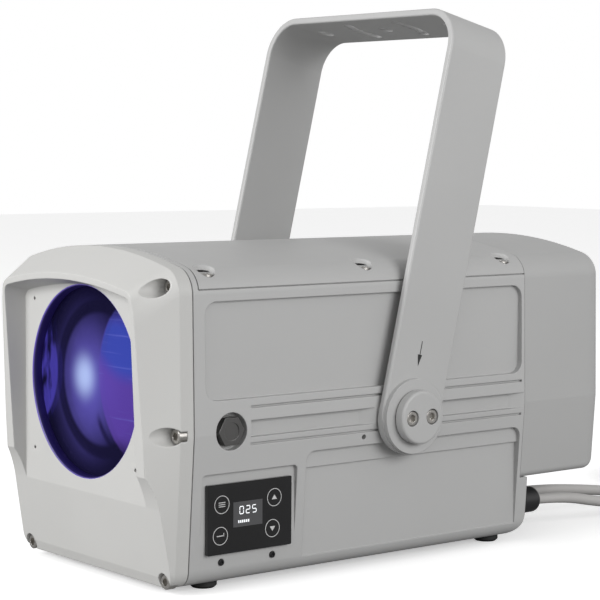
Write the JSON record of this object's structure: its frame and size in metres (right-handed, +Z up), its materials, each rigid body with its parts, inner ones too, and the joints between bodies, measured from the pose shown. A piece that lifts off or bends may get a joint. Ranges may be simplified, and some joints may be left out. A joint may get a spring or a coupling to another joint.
{
  "type": "follow spot",
  "caption": "Compact outdoor spot projector: a die-cast box with a hooded round front window, a side touch panel, a tilting U yoke, a rear cooling cover and two rear cables.",
  "frame": {"origin": "on the surface that the feet stand on, below the middle of the object without its cables", "axes": "+Z up, the beam leaves towards -Y, the control panel is on the +X side, the cables leave towards +Y"},
  "size_m": [0.2922, 0.7928, 0.3865],
  "materials": {
    "casing_paint": "light grey powder coat, satin",
    "lid_paint": "light grey powder coat, satin",
    "hood_paint": "light grey powder coat, satin",
    "yoke_paint": "light grey powder coat, satin",
    "cap_paint": "light grey powder coat, satin",
    "screw_steel": "stainless, machined",
    "plug_nickel": "dark nickel",
    "seal_rubber": "matt silicone",
    "foot_rubber": "matt",
    "window_glass": "violet anti-reflection coat",
    "lens_glass": "polished, coated",
    "panel_black": "black back-printed touch glass",
    "board_green": "solder mask",
    "display_black": "gloss",
    "black_anodised": "black anodised, matt",
    "bright_aluminium": "milled",
    "rod_steel": "ground",
    "motor_black": "black",
    "bush_bronze": "sintered",
    "washer_plastic": "fibre friction washer",
    "belt_rubber": "toothed belt",
    "fan_plastic": "glass-filled",
    "led_ceramic": "white board",
    "gland_black": "polyamide",
    "cable_grey": "light grey sheath",
    "plug_rubber": "moulded",
    "plug_metal": "satin",
    "driver_case": "folded sheet"
  },
  "bodies": {
    "casing": {"main_casing": "casing_paint", "top_lid": "lid_paint", "lid_seal": "seal_rubber", "rear_cover": "casing_paint", "rear_seal": "seal_rubber", "rear_posts": "screw_steel", "front_hood": "hood_paint", "hood_seal": "seal_rubber", "window_seal": "seal_rubber", "front_window": "window_glass", "window_retainer": "black_anodised", "retainer_screws": "screw_steel", "hood_screws": "screw_steel", "lid_screws": "screw_steel", "rear_screws": "screw_steel", "friction_washers": "washer_plastic", "pivot_bushes": "bush_bronze", "pivot_caps": "cap_paint", "pivot_screws": "screw_steel", "vent_plug": "plug_nickel", "rubber_feet": "foot_rubber", "foot_screws": "screw_steel", "panel_glass": "panel_black", "display_module": "display_black", "control_board": "board_green", "panel_screws": "screw_steel", "front_rod_plate": "black_anodised", "rear_rod_plate": "black_anodised", "guide_rods": "rod_steel", "optical_bench": "bright_aluminium", "bench_screws": "screw_steel", "screw_motors": "motor_black", "gobo_plate": "black_anodised", "gobo_motor": "motor_black", "drive_belt": "belt_rubber", "condenser_cup": "bright_aluminium", "condenser_lens": "lens_glass", "led_board": "led_ceramic", "heat_sink": "bright_aluminium", "fan_frame": "fan_plastic", "driver_module": "driver_case", "dimmer_board": "board_green", "cable_glands": "gland_black", "power_cable": "cable_grey", "power_coil": "cable_grey", "mains_plug": "plug_rubber", "data_cable": "cable_grey", "data_coil": "cable_grey", "data_plug": "plug_metal"},
    "yoke": {"yoke": "yoke_paint"},
    "zoom_slide": {"zoom_carriage": "black_anodised", "front_lens": "lens_glass"},
    "focus_slide": {"focus_carriage": "black_anodised", "focus_lens": "lens_glass"},
    "zoom_spindle": {"zoom_screw": "rod_steel"},
    "focus_spindle": {"focus_screw": "rod_steel"},
    "gobo_rotor": {"gobo_pulley": "bright_aluminium", "gobo_disc": "rod_steel"},
    "gobo_drive": {"motor_pulley": "bright_aluminium"},
    "fan": {"fan_rotor": "fan_plastic"}
  },
  "joints": [
    {"name": "yoke_tilt", "type": "hinge", "parent": "casing", "child": "yoke", "pos_m": [0, 0.0074, 0.1043], "axis": [-1, 0, 0], "range_deg": [-113.4, 76.6]},
    {"name": "zoom_travel", "type": "slide", "parent": "casing", "child": "zoom_slide", "axis": [0, 1, 0], "range_m": [0, 0.036]},
    {"name": "focus_travel", "type": "slide", "parent": "casing", "child": "focus_slide", "axis": [0, 1, 0], "range_m": [-0.02, 0.04]},
    {"name": "zoom_screw_turn", "type": "hinge", "parent": "casing", "child": "zoom_spindle", "pos_m": [-0.044, 0, 0.076], "axis": [0, 1, 0], "range_deg": [-60, 1170]},
    {"name": "focus_screw_turn", "type": "hinge", "parent": "casing", "child": "focus_spindle", "pos_m": [0.044, 0, 0.076], "axis": [0, 1, 0], "range_deg": [-690, 1290]},
    {"name": "gobo_spin", "type": "hinge", "parent": "casing", "child": "gobo_rotor", "pos_m": [0, 0.0701, 0.132], "axis": [0, -1, 0], "continuous": true},
    {"name": "motor_spin", "type": "hinge", "parent": "casing", "child": "gobo_drive", "pos_m": [-0.058, 0.0701, 0.132], "axis": [0, -1, 0], "continuous": true},
    {"name": "fan_spin", "type": "hinge", "parent": "casing", "child": "fan", "pos_m": [0, 0.1734, 0.132], "axis": [0, 1, 0], "continuous": true}
  ],
  "couplings": [
    {"joint": "zoom_screw_turn", "follows": "zoom_travel", "rad_per_m": 523.6},
    {"joint": "focus_screw_turn", "follows": "focus_travel", "rad_per_m": 523.6},
    {"joint": "motor_spin", "follows": "gobo_spin", "ratio": 5}
  ]
}
